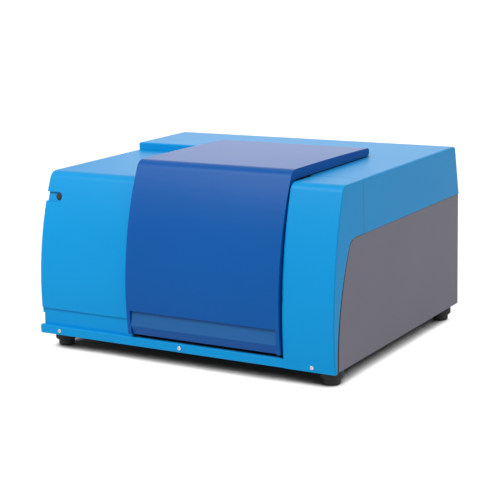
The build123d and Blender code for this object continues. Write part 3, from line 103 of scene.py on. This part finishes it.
# %% Surface patterns shared by all finishes
SKIN_RELIEF = 0.35
MIX_LOW, MIX_HIGH, MIX_RESULT = 6, 7, 2


def noise(tree, scale, detail, place):
    """A noise value with about this many hills to a metre."""
    settings = {"Scale": scale, "Detail": detail}
    return add(tree, "ShaderNodeTexNoise", settings, Vector=place).outputs["Fac"]


def object_position(tree):
    """Where a shaded point lies, in metres, so that a pattern keeps its real size."""
    return add(tree, "ShaderNodeTexCoord").outputs["Object"]


def colour_mix(tree, factor, low, high):
    """A colour between two hex values. A mix node's colour sockets are known by their numbers."""
    mix = add(tree, "ShaderNodeMix", {"data_type": "RGBA"}, Factor=factor)
    mix.inputs[MIX_LOW].default_value = linear(low)
    mix.inputs[MIX_HIGH].default_value = linear(high)
    return mix.outputs[MIX_RESULT]


def join_relief(tree, height, strength, depth_mm):
    """Bend the shader's normal by a height, so that light breaks on the surface."""
    settings = {"Strength": strength, "Distance": depth_mm * MM}
    bump = add(tree, "ShaderNodeBump", settings, Height=height)
    tree.links.new(bump.outputs["Normal"], tree.nodes["Principled BSDF"].inputs["Normal"])


def join_roughness(tree, value, low, high):
    """Let the shader's roughness move between two values, as a noise value rises."""
    spread = add(tree, "ShaderNodeMapRange", {"To Min": low, "To Max": high}, Value=value)
    tree.links.new(spread.outputs[0], tree.nodes["Principled BSDF"].inputs["Roughness"])


def eroded_texture(finish, grain_mm, depth_mm, drift, darker, lighter):
    """Fine grain in the surface normal, and a slow drift between two close colours."""
    tree = finish.node_tree
    place = object_position(tree)
    grain = noise(tree, 1 / (grain_mm * MM), 2.0, place)
    colour = colour_mix(tree, noise(tree, drift, 1.0, place), darker, lighter)
    tree.links.new(colour, tree.nodes["Principled BSDF"].inputs["Base Color"])
    join_relief(tree, grain, SKIN_RELIEF, depth_mm)


# %% [markdown]
# The covers are injection-moulded ABS in a light blue, with a satin skin. Smooth ABS has an IOR
# near 1.5, but an eroded skin traps part of the light that it would mirror, so the specular level
# is set under the usual 0.5. The fronts then keep their full colour, while the top faces still
# turn pale at a grazing view. The lid is the same plastic in a deep blue, a little glossier.

# %% Light blue and deep blue moulded ABS
light_blue_abs = material("light blue satin ABS", "#0093D4",
                          Roughness=0.42, IOR=1.5, Specular_IOR_Level=0.16)
eroded_texture(light_blue_abs, grain_mm=0.9, depth_mm=0.02, drift=6.0,
               darker="#0090D1", lighter="#0096D8")
finish_nodes(light_blue_abs, "front_bezel", "left_cover", "hood")

deep_blue_abs = material("deep blue satin ABS", "#00539F",
                         Roughness=0.36, IOR=1.5, Specular_IOR_Level=0.16)
eroded_texture(deep_blue_abs, grain_mm=0.9, depth_mm=0.015, drift=5.0,
               darker="#00509B", lighter="#0056A3")
finish_nodes(deep_blue_abs, "lid")

# %% [markdown]
# The sides and the back are sheet steel under a powder coat. The powder flows into an orange peel
# of shallow hills about 1.5 mm apart, and the warm grey shows a soft, wide highlight.

# %% Powder-coated grey steel
grey_powder_coat = material("warm grey powder coat", "#706D7A",
                            Roughness=0.5, IOR=1.5, Specular_IOR_Level=0.3)
eroded_texture(grey_powder_coat, grain_mm=1.5, depth_mm=0.03, drift=8.0,
               darker="#6D6A77", lighter="#73707D")
finish_nodes(grey_powder_coat, "right_side_panel", "left_side_panel", "rear_panel")

# %% [markdown]
# Feet and mounts are black moulded rubber: nearly no highlight, with a dusty bloom. The button, the
# mains fittings and the fan are matt black plastic, which is a little smoother than rubber.

# %% Black rubber, foam and dark plastics
black_rubber = material("moulded black rubber", "#1E1C1C", Roughness=0.78, IOR=1.52)
eroded_texture(black_rubber, grain_mm=1.2, depth_mm=0.03, drift=20.0,
               darker="#1A1919", lighter="#262424")
finish_nodes(black_rubber, "foot_front_left", "foot_front_right", "foot_rear_left",
             "foot_rear_right", "bench_isolators")

seal_foam = material("closed-cell foam", "#202124", Roughness=0.95, IOR=1.3)
eroded_texture(seal_foam, grain_mm=1.0, depth_mm=0.2, drift=30.0,
               darker="#17181A", lighter="#2B2C30")
finish_nodes(seal_foam, "compartment_seal")

matt_black_abs = material("matt black ABS", "#1B1B1E", Roughness=0.55, IOR=1.5)
eroded_texture(matt_black_abs, grain_mm=0.8, depth_mm=0.015, drift=15.0,
               darker="#18181B", lighter="#202024")
finish_nodes(matt_black_abs, "button_sleeve", "power_button", "mains_inlet", "mains_switch",
             "mains_rocker", "fan_frame", "fan_rotor", "lid_sensor")

dark_grey_abs = material("dark grey formed ABS", "#4A4D54", Roughness=0.55, IOR=1.5)
eroded_texture(dark_grey_abs, grain_mm=1.0, depth_mm=0.03, drift=8.0,
               darker="#464950", lighter="#4F525A")
finish_nodes(dark_grey_abs, "lid_inner_panel")

smoked_light_pipe = material("smoked acrylic light pipe", "#33373A", Roughness=0.3, IOR=1.49)
eroded_texture(smoked_light_pipe, grain_mm=0.5, depth_mm=0.01, drift=40.0,
               darker="#2E3235", lighter="#3B4043")
finish_nodes(smoked_light_pipe, "button_indicator")

# %% [markdown]
# The compartment walls are sheet aluminium under a matt black optical paint, which is grainy so
# that stray light dies in it. Anodised parts are smoother and show a dark metal sheen.

# %% Optical black paint and black anodised aluminium
optical_black = material("matt optical black paint", "#222326", Roughness=0.7, IOR=1.5)
eroded_texture(optical_black, grain_mm=1.2, depth_mm=0.05, drift=12.0,
               darker="#1D1E20", lighter="#2A2B2F")
finish_nodes(optical_black, "compartment_liner")

black_anodised = material("black anodised aluminium", "#26272B", Roughness=0.38, Metallic=0.6)
eroded_texture(black_anodised, grain_mm=1.0, depth_mm=0.01, drift=25.0,
               darker="#222327", lighter="#2B2C31")
finish_nodes(black_anodised, "port_rings", "fixed_mirror_cell", "mirror_drive",
             "source_lens_holder", "laser_saddle", "beam_tubes", "stepper_motor",
             "lift_top_plate", "sample_cell")

# %% [markdown]
# Metals differ by how they were cut. Turned rods and screws carry fine rings, the pan is rolled and
# zinc plated with a faint spangle, and the bench and the carriage are milled castings. A stretched
# noise gives the brushed and milled ones their direction.

# %% Steel, zinc and milled aluminium
MARK_RELIEF = 0.2
MARK_DEPTH_MM = 0.01
SMOOTHEST, ROUGHEST = 0.8, 1.25


def metal(name, colour, roughness, stretch, grain_mm):
    """A bare metal with fine marks drawn out along one direction."""
    made = material(name, colour, Metallic=1.0, Roughness=roughness)
    tree = made.node_tree
    place = add(tree, "ShaderNodeMapping", {"Scale": stretch}, Vector=object_position(tree))
    marks = noise(tree, 1 / (grain_mm * MM), 3.0, place.outputs[0])
    join_roughness(tree, marks, roughness * SMOOTHEST, roughness * ROUGHEST)
    join_relief(tree, marks, MARK_RELIEF, MARK_DEPTH_MM)
    return made


turned_steel = metal("turned nickel-plated steel", "#C9C9CC",
                     roughness=0.22, stretch=(1, 1, 6), grain_mm=0.6)
finish_nodes(turned_steel, "foot_screws", "strip_screws", "hinge_brackets", "hinge_pins",
             "lid_magnet", "lead_screw", "guide_rods", "fan_guard", "data_sockets",
             "reference_laser")

zinc_sheet = metal("zinc-plated sheet steel", "#B9BCC0",
                   roughness=0.38, stretch=(1, 0.2, 1), grain_mm=4.0)
finish_nodes(zinc_sheet, "base_pan", "power_supply")

milled_aluminium = metal("milled cast aluminium", "#C4C6CA",
                         roughness=0.34, stretch=(1, 0.15, 1), grain_mm=1.2)
finish_nodes(milled_aluminium, "optical_bench", "interferometer_block", "source_housing",
             "detector_housing", "cell_carriage", "shaft_coupling")

# %% [markdown]
# Optics: clear polished glass for windows and lenses, a gold-coated mirror face, a quartz lamp, and
# the solder mask of the circuit boards, whose green film is a little uneven.

# %% Glass, mirror and circuit board
def handled_gloss(finish, patch_mm, cleanest, dullest):
    """Faint cleaning marks: the roughness drifts between two values from patch to patch."""
    tree = finish.node_tree
    haze = noise(tree, 1 / (patch_mm * MM), 2.0, object_position(tree))
    join_roughness(tree, haze, cleanest, dullest)


clear_glass = material("polished optical glass", "#EAF4F2", IOR=1.46, Transmission_Weight=1.0)
handled_gloss(clear_glass, patch_mm=6.0, cleanest=0.01, dullest=0.06)
finish_nodes(clear_glass, "port_windows", "beamsplitter", "beam_lenses", "cell_windows",
             "source_lamp")

gold_mirror = material("gold-coated mirror", "#E8C874", Metallic=1.0)
handled_gloss(gold_mirror, patch_mm=9.0, cleanest=0.02, dullest=0.08)
finish_nodes(gold_mirror, "fixed_mirror", "moving_mirror")

solder_mask = material("green solder mask", "#1B6B38", Roughness=0.35, IOR=1.5)
eroded_texture(solder_mask, grain_mm=0.8, depth_mm=0.02, drift=60.0,
               darker="#185F32", lighter="#1F7840")
finish_nodes(solder_mask, "control_board", "detector")
print("finished", len(nodes), "built parts")

# %% [markdown]
# Small fittings that the rigid model leaves plain are all made the same way. A closed outline is
# repeated along a path or from ring to ring, and neighbouring outlines are joined by a band of
# faces, with a cap on each end. Two helpers do that, for the trims, the screws and the inlay.

# %% Helpers for small fittings
def close_skin(work, loops):
    """Join a row of equal loops into a closed skin."""
    for low, high in zip(loops, loops[1:]):
        for i in range(len(low)):
            j = (i + 1) % len(low)
            work.faces.new((low[i], low[j], high[j], high[i]))
    work.faces.new(loops[0])
    work.faces.new(loops[-1])


def make_piece(name, work, finish):
    """Turn a mesh in work into a piece of the scene, with one material."""
    bmesh.ops.recalc_face_normals(work, faces=work.faces[:])
    mesh = bpy.data.meshes.new(name)
    work.to_mesh(mesh)
    work.free()
    mesh.materials.append(finish)
    piece = bpy.data.objects.new(name, mesh)
    bpy.context.scene.collection.objects.link(piece)
    return piece


# %% [markdown]
# A black rubber trim is laid over the raw front edge of each side panel and of the hood. It stands
# in for the shade in those seams, which then read as thin dark lines: painted shade. Its section is
# an L: one leg lies on the outer face and the other covers the edge. Its path is found on the built
# part: the points on the outer face that also belong to a face that looks forward.

# %% Black edge trims that paint the seam shade
WELD = 0.001 * MM
SIDEWAYS = 0.5
PANEL_SHADE_TRIM = {"over": 1.8, "lift": 0.8, "proud": 0.5, "deep": 1.9}
PANEL_SIDE_X = 266 * MM
PANEL_FACING = -0.3
HOOD_SHADE_TRIM = {"over": 0.7, "lift": 0.5, "proud": 0.3, "deep": 1.5}
HOOD_SIDE_X = 265 * MM
HOOD_ARM_Y = -120 * MM
HOOD_FACING = -0.9


def edge_path(node_name, side, wanted):
    """Places and forward directions along the front edge of a built part, from low to high."""
    source = bmesh.new()
    source.from_mesh(nodes[node_name].data)
    bmesh.ops.remove_doubles(source, verts=source.verts, dist=WELD)
    source.normal_update()
    path = []
    for vert in source.verts:
        front = [face.normal for face in vert.link_faces
                 if wanted(side * vert.co.x, vert.co.y, face.normal.y)]
        if front and any(side * face.normal.x > SIDEWAYS for face in vert.link_faces):
            ahead = sum(front, Vector())
            path.append((vert.co.copy(), Vector((0, ahead.y, ahead.z)).normalized()))
    source.free()
    return sorted(path, key=lambda step: step[0].z)


def seam_shade_trim(name, path, side, over, lift, proud, deep):
    """A rubber trim along a path, with sizes in millimetres.

    It reaches back over the outer face and stands proud of it, and it lifts off the edge and
    goes this deep across it.
    """
    section = [(-over, proud), (lift, proud), (lift, -deep), (0, -deep), (0, 0), (-over, 0)]
    work = bmesh.new()
    loops = [[work.verts.new(place + (ahead * d + Vector((side * e, 0, 0))) * MM)
              for d, e in section] for place, ahead in path]
    close_skin(work, loops)
    print(name, "has", len(path), "steps")
    # The black rubber here is painted shade: it darkens the seam as the gap's shadow would.
    return make_piece(name, work, black_rubber)


for side, word in ((1, "right"), (-1, "left")):
    path = edge_path(f"{word}_side_panel", side,
                     lambda x, y, facing: x > PANEL_SIDE_X and facing < PANEL_FACING)
    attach(seam_shade_trim(f"{word}_panel_seam_shade_trim", path, side, **PANEL_SHADE_TRIM), "housing")
path = edge_path("hood", 1, lambda x, y, facing: (
    x > HOOD_SIDE_X and y < HOOD_ARM_Y and facing < HOOD_FACING))
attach(seam_shade_trim("right_hood_seam_shade_trim", path, 1, **HOOD_SHADE_TRIM), "housing")

# %% [markdown]
# The rear panel is held by button-head screws with a hex socket. Each is turned as rings, from the
# floor of the socket up its six-sided wall, over a short bevel and down the domed crown to the
# seat, and then along the shank.

# %% Button-head screws
RING_POINTS = 24
HEAD_RADIUS = 3.4 * MM
HEAD_TALL = 2.0 * MM
SHANK_RADIUS = 1.9 * MM
SHANK_LENGTH = 8 * MM
SOCKET_FLAT = 0.3
SOCKET_FLOOR = 0.35
SOCKET_TOP = 0.98
SOCKET_BEVEL = 1.25
DOME_ANGLES = (60, 45, 30, 15, 0)


def screw_rings():
    """Radius, height and whether it is a hexagon, for each ring of a screw."""
    flat = SOCKET_FLAT * HEAD_RADIUS
    rings = [(flat, HEAD_TALL * SOCKET_FLOOR, True), (flat, HEAD_TALL * SOCKET_TOP, True),
             (flat * SOCKET_BEVEL, HEAD_TALL, False)]
    for degrees in DOME_ANGLES:
        turn = math.radians(degrees)
        rings.append((HEAD_RADIUS * math.cos(turn), HEAD_TALL * math.sin(turn), False))
    return rings + [(SHANK_RADIUS, 0.0, False), (SHANK_RADIUS, -SHANK_LENGTH, False)]


def hexagon(angle):
    """How much further out a hexagon's side lies at an angle than at the middle of the side."""
    return 1 / math.cos((angle + math.pi / 6) % (math.pi / 3) - math.pi / 6)


def button_screws(name, places, outward):
    """Several screws as one piece. Each place is the middle of a seat, and all heads face out."""
    work = bmesh.new()
    turned = Vector((0, 0, 1)).rotation_difference(Vector(outward)).to_matrix()
    angles = [2 * math.pi * i / RING_POINTS for i in range(RING_POINTS)]
    for place in places:
        loops = []
        for radius, height, six_sided in screw_rings():
            reaches = [radius * (hexagon(angle) if six_sided else 1) for angle in angles]
            loops.append([
                work.verts.new(Vector(place) + turned @ Vector(
                    (reach * math.cos(angle), reach * math.sin(angle), height)))
                for reach, angle in zip(reaches, angles)])
        close_skin(work, loops)
    return make_piece(name, work, turned_steel)


INSET = 10 * MM
LOWEST_SEAT = 30 * MM

rear_low, rear_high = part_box("rear_panel")
columns = [rear_low.x + INSET, rear_low.x / 3, rear_high.x / 3, rear_high.x - INSET]
rows = (rear_low.z + LOWEST_SEAT, rear_high.z - INSET)
seats = [(x, rear_high.y, z) for x in columns for z in rows]
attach(button_screws("rear_panel_screws", seats, (0, 1, 0)), "housing")
print(len(seats), "rear screws")

# %% [markdown]
# The sloping floor of the lid's grip faces partly upward and catches more light. A thin bonded
# inlay
# with a coarser skin is laid on it, painted a little lighter and greyer than the lid around it:
# painted light. Its outline follows the grip, with small round corners and a chamfered edge, and it
# is left bare. The grip's slope is told from the upper bow of the lid, which faces nearly the same
# way, by how low it lies.

# %% Grip inlay, painted lighter
INLAY_MARGIN = 0.5 * MM
INLAY_CORNER = 2.0 * MM
INLAY_THICK = 0.3 * MM
INLAY_CHAMFER = 0.15 * MM
CORNER_STEPS = 6
GRIP_CEILING = 90 * MM
GRIP_FACE_AREA = 1000 * MM * MM
GRIP_UPWARD, GRIP_FORWARD = 0.1, -0.9

# The inlay's blue is lighter and greyer than the lid's: painted light for the upward-facing slope.
lighter_slope_film = material("blue film painted lighter for the lit slope", "#175B99",
                       Roughness=0.5, IOR=1.58, Specular_IOR_Level=0.2)
eroded_texture(lighter_slope_film, grain_mm=0.7, depth_mm=0.02, drift=9.0,
               darker="#155895", lighter="#1B5F9D")

lid_mesh = nodes["lid"].data
slope = [face for face in lid_mesh.polygons
         if face.normal.z > GRIP_UPWARD and face.normal.y < GRIP_FORWARD
         and face.area > GRIP_FACE_AREA and face.center.z < GRIP_CEILING]
corners = [lid_mesh.vertices[i].co for face in slope for i in face.vertices]
slope_foot = min(corners, key=lambda c: c.z)
slope_top = max(corners, key=lambda c: c.z)
slope_left, slope_right = min(c.x for c in corners), max(c.x for c in corners)
slope_out = slope[0].normal.copy()
rise = Vector((0, slope_top.y - slope_foot.y, slope_top.z - slope_foot.z))


def rounded_outline(margin):
    """A rectangle with round corners, this far inside the slope: sideways and uphill places."""
    low_x, high_x = slope_left + margin, slope_right - margin
    low_up, high_up = margin, rise.length - margin
    points = []
    for x, up, start in ((high_x, low_up, -90), (high_x, high_up, 0),
                         (low_x, high_up, 90), (low_x, low_up, 180)):
        inner_x = x - INLAY_CORNER if x == high_x else x + INLAY_CORNER
        inner_up = up - INLAY_CORNER if up == high_up else up + INLAY_CORNER
        for step in range(CORNER_STEPS + 1):
            turn = math.radians(start + 90 * step / CORNER_STEPS)
            points.append((inner_x + INLAY_CORNER * math.cos(turn),
                           inner_up + INLAY_CORNER * math.sin(turn)))
    return points


def inlay_ring(work, margin, height):
    """One outline of the inlay, this far inside the slope and this high above it."""
    return [work.verts.new(Vector((x, slope_foot.y, slope_foot.z))
                           + rise.normalized() * uphill + slope_out * height)
            for x, uphill in rounded_outline(margin)]


work = bmesh.new()
close_skin(work, [inlay_ring(work, INLAY_MARGIN, 0),
                  inlay_ring(work, INLAY_MARGIN, INLAY_THICK - INLAY_CHAMFER),
                  inlay_ring(work, INLAY_MARGIN + INLAY_CHAMFER, INLAY_THICK)])
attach(make_piece("grip_painted_light_inlay", work, lighter_slope_film), "lid")
print("grip slope in mm:", round((slope_right - slope_left) / MM, 1), "by",
      round(rise.length / MM, 1))

# %% [markdown]
# The floor is a white sweep. Light bounces off it as off white paper. Rays that come straight from
# the camera, or from a glossy or clear surface, see a dark grey instead. Emission lifts that grey
# to full white where the floor is open, and leaves a dark contact shadow where something stands
# close
# above it: painted shadow. How open a place is comes from an ambient occlusion node with a short
# reach. The world is full white for the same rays.

# %% Floor and world
FLOOR_HALF = 12.0
FLOOR_LIFT = 1.0
SHADOW_REACH = 60 * MM
SHADED_BELOW, OPEN_ABOVE = 0.25, 0.5
PAPER_LIT, PAINTED_SHADOW_GREY = "#D0D0D0", "#3A3A3A"
WORLD_LIGHT = 0.52
WHITE = (1, 1, 1, 1)


def maths(tree, operation, first, second):
    """The result of a maths node on two linked values."""
    node = add(tree, "ShaderNodeMath", {"operation": operation})
    tree.links.new(first, node.inputs[0])
    tree.links.new(second, node.inputs[1])
    return node.outputs[0]


def seen_directly(tree):
    """One for camera, glossy and transmission rays, zero for the light that falls on things."""
    path = add(tree, "ShaderNodeLightPath")
    first = maths(tree, "MAXIMUM", path.outputs["Is Camera Ray"], path.outputs["Is Glossy Ray"])
    return maths(tree, "MAXIMUM", first, path.outputs["Is Transmission Ray"])


floor_mesh = bpy.data.meshes.new("floor")
floor_corners = ((-1, -1), (1, -1), (1, 1), (-1, 1))
floor_mesh.from_pydata([(x * FLOOR_HALF, y * FLOOR_HALF, 0) for x, y in floor_corners],
                       [], [(0, 1, 2, 3)])
floor = bpy.data.objects.new("floor", floor_mesh)
bpy.context.scene.collection.objects.link(floor)

white_sweep = material("white sweep with painted shadow", PAPER_LIT, Roughness=0.9)
tree = white_sweep.node_tree
paper_shader = tree.nodes["Principled BSDF"]
seen = seen_directly(tree)
# Seen directly, the floor's colour is a dark grey painted shadow. The lift below turns it white
# where the floor is open.
paper = colour_mix(tree, seen, PAPER_LIT, PAINTED_SHADOW_GREY)
tree.links.new(paper, paper_shader.inputs["Base Color"])
nearby = add(tree, "ShaderNodeAmbientOcclusion", {"samples": 16, "Distance": SHADOW_REACH})
open_floor = add(tree, "ShaderNodeMapRange", {
    "From Min": SHADED_BELOW, "From Max": OPEN_ABOVE, "To Min": 0.0, "To Max": FLOOR_LIFT},
    Value=nearby.outputs["AO"])
lift = maths(tree, "MULTIPLY", seen, open_floor.outputs[0])
paper_shader.inputs["Emission Color"].default_value = WHITE
tree.links.new(lift, paper_shader.inputs["Emission Strength"])
floor_mesh.materials.append(white_sweep)

world = bpy.data.worlds.new("studio")
bpy.context.scene.world = world
world.use_nodes = True
tree = world.node_tree
for node in list(tree.nodes):
    tree.nodes.remove(node)
share = add(tree, "ShaderNodeMapRange", {"To Min": WORLD_LIGHT, "To Max": 1.0},
            Value=seen_directly(tree))
sky = add(tree, "ShaderNodeBackground", Strength=share.outputs[0])
sky.inputs["Color"].default_value = WHITE
add(tree, "ShaderNodeOutputWorld", Surface=sky.outputs[0])

# %% [markdown]
# Studio light: one large soft box high in front and to the left, which shapes the curved fronts,
# a weaker one on the right for the grey side, and a low one behind, whose grazing reflection turns
# the flat tops pale. All are far larger than the analyser, so that no hard shadow edge falls on it.

# %% Soft boxes
MIDDLE = Vector((0.0, 0.0, 0.15))


def soft_box(name, where, size, power):
    """A square area lamp that points at the middle of the analyser."""
    lamp = bpy.data.lights.new(name, "AREA")
    lamp.shape = "SQUARE"
    lamp.size = size
    lamp.energy = power
    lamp_object = bpy.data.objects.new(name, lamp)
    bpy.context.scene.collection.objects.link(lamp_object)
    lamp_object.location = where
    lamp_object.rotation_mode = "QUATERNION"
    lamp_object.rotation_quaternion = (MIDDLE - Vector(where)).to_track_quat("-Z", "Y")


soft_box("front soft box", where=(-1.1, -2.2, 2.5), size=1.6, power=70)
soft_box("right soft box", where=(2.6, -0.6, 1.6), size=1.6, power=14)
soft_box("back soft box", where=(-0.9, 2.6, 1.1), size=2.2, power=11)

# %% [markdown]
# The camera stands where the photographer stood: about thirty degrees round to the right, a little
# above the lid, with a long lens. The distance and the lens were worked out from the straight
# edges of the housing, whose size is known, and the small roll is the photograph's own.

# %% Camera
CAMERA_AZIMUTH = math.radians(30.913)
CAMERA_HEIGHT = math.radians(12.407)
CAMERA_ROLL = math.radians(-1.505)
CAMERA_PLACE = (1.1859, -1.9872, 0.6505)
CAMERA_LENS = 103.03
CAMERA_SENSOR = 36.0
CAMERA_REACH = 60.0

back = Vector((math.sin(CAMERA_AZIMUTH) * math.cos(CAMERA_HEIGHT),
               -math.cos(CAMERA_AZIMUTH) * math.cos(CAMERA_HEIGHT), math.sin(CAMERA_HEIGHT)))
level = Vector((0, 0, 1)).cross(back).normalized()
upright = back.cross(level)
right = math.cos(CAMERA_ROLL) * level + math.sin(CAMERA_ROLL) * upright
up = math.cos(CAMERA_ROLL) * upright - math.sin(CAMERA_ROLL) * level
camera_data = bpy.data.cameras.new("camera")
camera_data.lens = CAMERA_LENS
camera_data.sensor_width = CAMERA_SENSOR
camera_data.clip_end = CAMERA_REACH
camera = bpy.data.objects.new("camera", camera_data)
bpy.context.scene.collection.objects.link(camera)
camera.matrix_world = Matrix((
    (right.x, up.x, back.x, CAMERA_PLACE[0]),
    (right.y, up.y, back.y, CAMERA_PLACE[1]),
    (right.z, up.z, back.z, CAMERA_PLACE[2]),
    (0, 0, 0, 1)))
bpy.context.scene.camera = camera
bpy.context.scene.view_settings.view_transform = "Standard"
